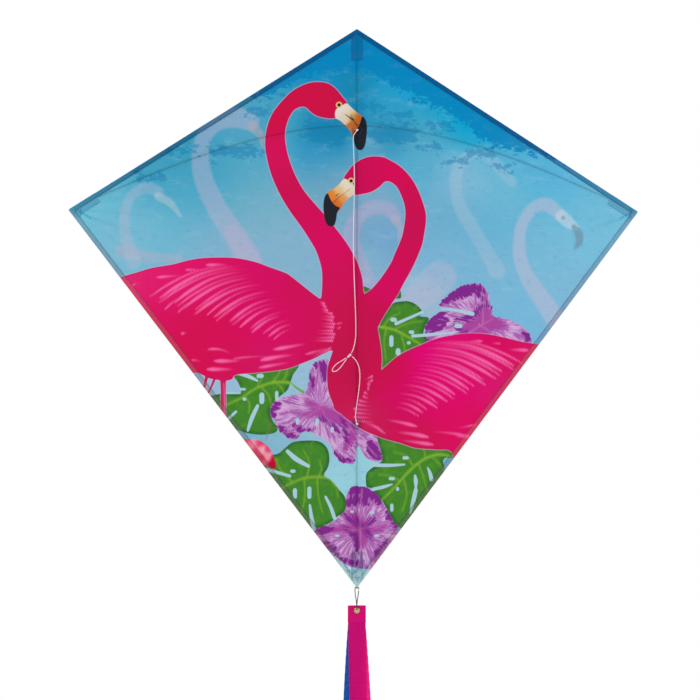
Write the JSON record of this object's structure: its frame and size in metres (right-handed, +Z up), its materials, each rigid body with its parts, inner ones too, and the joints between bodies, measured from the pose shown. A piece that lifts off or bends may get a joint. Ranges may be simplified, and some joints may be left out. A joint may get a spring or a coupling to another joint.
{
  "type": "diamond kite",
  "caption": "Bowed single-line diamond kite with a printed cloth sail, sleeved rod frame, cord bridle with a tow loop, and a ribbon tail on a wire clip.",
  "frame": {"origin": "centre of the flat back face of the spar fitting, where the cross spar's top meets the spine", "axes": "+X right as seen from the printed front, +Y backwards out of the fitting's back face, +Z up along the spine to the nose"},
  "size_m": [0.6972, 0.0547, 1.3171],
  "materials": {
    "printed_sail": "thin printed ripstop polyester, soft sheen",
    "hem_cloth": "folded ripstop polyester with a blue stitch line",
    "pocket_cloth": "folded polyester, stitched",
    "fibreglass_rod": "dark fibreglass, satin",
    "cap_vinyl": "soft vinyl, matt",
    "fitting_plastic": "moulded nylon",
    "bridle_line": "twisted white line",
    "clip_wire": "dark bronzed spring wire",
    "eyelet_brass": "polished, rolled edge",
    "magenta_cloth": "thin polyester, soft sheen",
    "pink_cloth": "thin polyester, soft sheen",
    "blue_cloth": "thin polyester, soft sheen"
  },
  "bodies": {
    "kite": {"sail": "printed_sail", "hem_upper_right": "hem_cloth", "hem_lower_right": "hem_cloth", "hem_lower_left": "hem_cloth", "hem_upper_left": "hem_cloth", "bridle_patch_upper": "pocket_cloth", "bridle_patch_lower": "pocket_cloth", "spine_rod": "fibreglass_rod", "cross_spar": "fibreglass_rod", "nose_cap": "cap_vinyl", "tail_cap": "cap_vinyl", "wing_cap_left": "cap_vinyl", "wing_cap_right": "cap_vinyl", "centre_fitting": "fitting_plastic", "nose_pocket": "pocket_cloth", "tail_pocket": "pocket_cloth", "wing_pocket_left": "pocket_cloth", "wing_pocket_right": "pocket_cloth", "bridle_tie_upper": "bridle_line", "bridle_tie_lower": "bridle_line", "tail_loop": "pocket_cloth"},
    "bridle": {"bridle_line_upper": "bridle_line", "bridle_line_lower": "bridle_line", "bridle_knot": "bridle_line"},
    "tow_loop": {"tow_loop": "bridle_line"},
    "tail_clip": {"tail_clip": "clip_wire"},
    "tail_tab": {"tail_tab": "magenta_cloth", "tail_eyelet": "eyelet_brass", "tail_eyelet_washer": "eyelet_brass", "streamer_pink": "pink_cloth"},
    "front_streamer": {"streamer_magenta": "magenta_cloth"},
    "back_streamer": {"streamer_blue": "blue_cloth"}
  },
  "joints": [
    {"name": "bridle_swing", "type": "hinge", "parent": "kite", "child": "bridle", "pos_m": [0, -0.01685, -0.1835], "axis": [0, 0, 1], "range_deg": [-30, 80]},
    {"name": "tow_loop_swing", "type": "hinge", "parent": "bridle", "child": "tow_loop", "pos_m": [-0.0131, -0.031, -0.2809], "axis": [1, 0, 0], "range_deg": [-90, 20]},
    {"name": "clip_swing", "type": "hinge", "parent": "kite", "child": "tail_clip", "pos_m": [0, -0.0098, -0.5584], "axis": [1, 0, 0], "range_deg": [-80, 80]},
    {"name": "tab_swing", "type": "hinge", "parent": "tail_clip", "child": "tail_tab", "pos_m": [0, -0.0098, -0.5864], "axis": [0, 1, 0], "range_deg": [-70, 70]},
    {"name": "front_streamer_flap", "type": "hinge", "parent": "tail_tab", "child": "front_streamer", "pos_m": [0, -0.0106, -0.60112], "axis": [1, 0, 0], "range_deg": [-70, 0]},
    {"name": "back_streamer_flap", "type": "hinge", "parent": "tail_tab", "child": "back_streamer", "pos_m": [0, -0.009, -0.60112], "axis": [1, 0, 0], "range_deg": [0, 70]}
  ]
}
